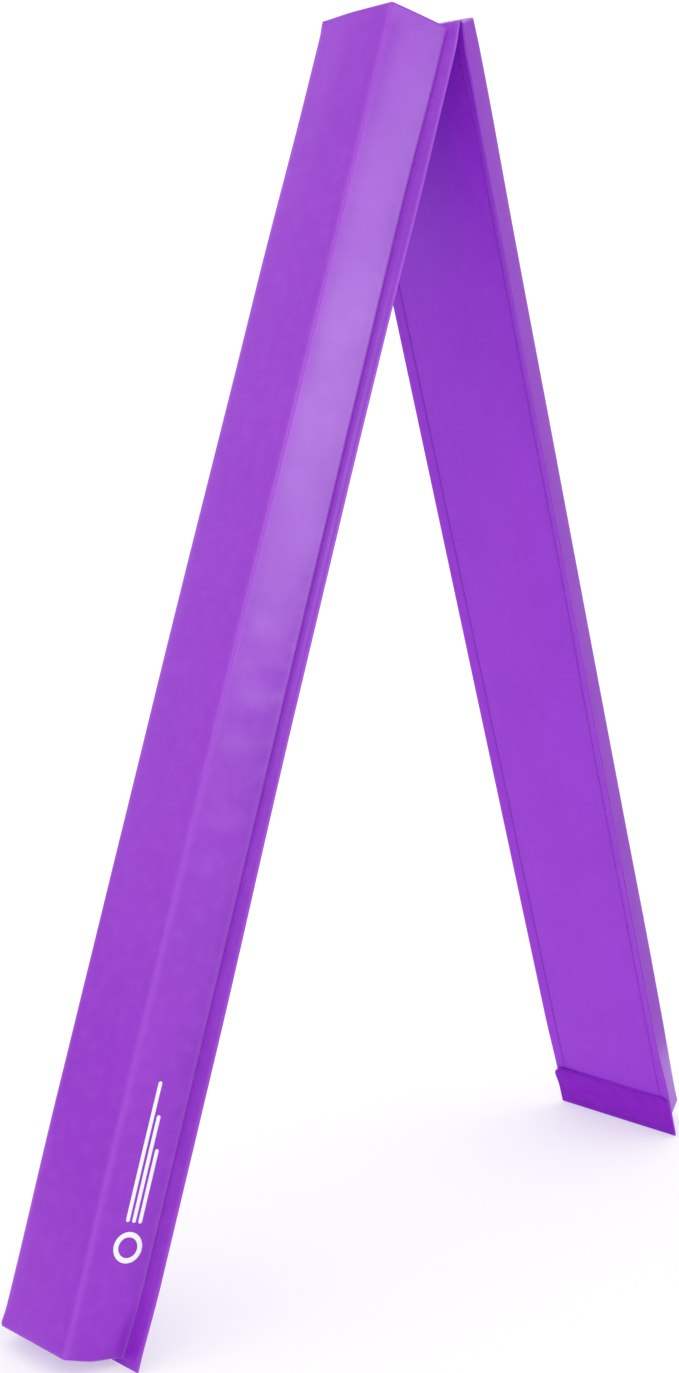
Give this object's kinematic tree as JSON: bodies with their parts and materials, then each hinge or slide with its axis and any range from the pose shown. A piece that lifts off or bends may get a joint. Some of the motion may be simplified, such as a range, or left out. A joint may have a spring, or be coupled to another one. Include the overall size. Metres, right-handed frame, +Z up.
{
  "type": "folding balance beam",
  "caption": "Padded vinyl-covered foam floor balance beam that folds in half on a fabric hinge, with a hook-and-loop connector flap.",
  "frame": {"origin": "middle of the floor under the standing beam, at the bottom of its bounding box", "axes": "+Z up, towards the fold; X runs from the foot of half A (-X) to the foot of half B (+X); Y runs across the beam, along the fold axis"},
  "size_m": [0.9978, 0.18, 1.3174],
  "materials": {
    "cover_vinyl": "satin",
    "base_vinyl": "satin",
    "foam": "matte",
    "thread": "matte",
    "hook_tape": "matte",
    "loop_tape": "matte",
    "print": "matte"
  },
  "bodies": {
    "half_a": {"foam_core_a": "foam", "top_cover_a": "cover_vinyl", "base_sheet_a": "base_vinyl", "fold_end_panel_a": "cover_vinyl", "foot_end_panel_a": "cover_vinyl", "needle_thread_front_a": "thread", "bobbin_thread_front_a": "thread", "needle_thread_back_a": "thread", "bobbin_thread_back_a": "thread", "loop_tape_a": "loop_tape", "loop_tape_thread_a": "thread", "fold_web": "base_vinyl"},
    "half_b": {"foam_core_b": "foam", "top_cover_b": "cover_vinyl", "base_sheet_b": "base_vinyl", "fold_end_panel_b": "cover_vinyl", "foot_end_panel_b": "cover_vinyl", "needle_thread_front_b": "thread", "bobbin_thread_front_b": "thread", "needle_thread_back_b": "thread", "bobbin_thread_back_b": "thread"},
    "flap": {"flap_backing_b": "cover_vinyl", "hook_tape_b": "hook_tape", "hook_tape_thread_b": "thread"}
  },
  "joints": [
    {"name": "fold", "type": "hinge", "parent": "half_a", "child": "half_b", "pos_m": [0, 0, 1.29954], "axis": [0, 1, 0], "range_deg": [-142.8, 36.9], "deforming": ["fold_web"]},
    {"name": "flap_fold", "type": "hinge", "parent": "half_b", "child": "flap", "pos_m": [0.43841, 0, 0.00043], "axis": [0, -1, 0], "range_deg": [0, 180]}
  ]
}
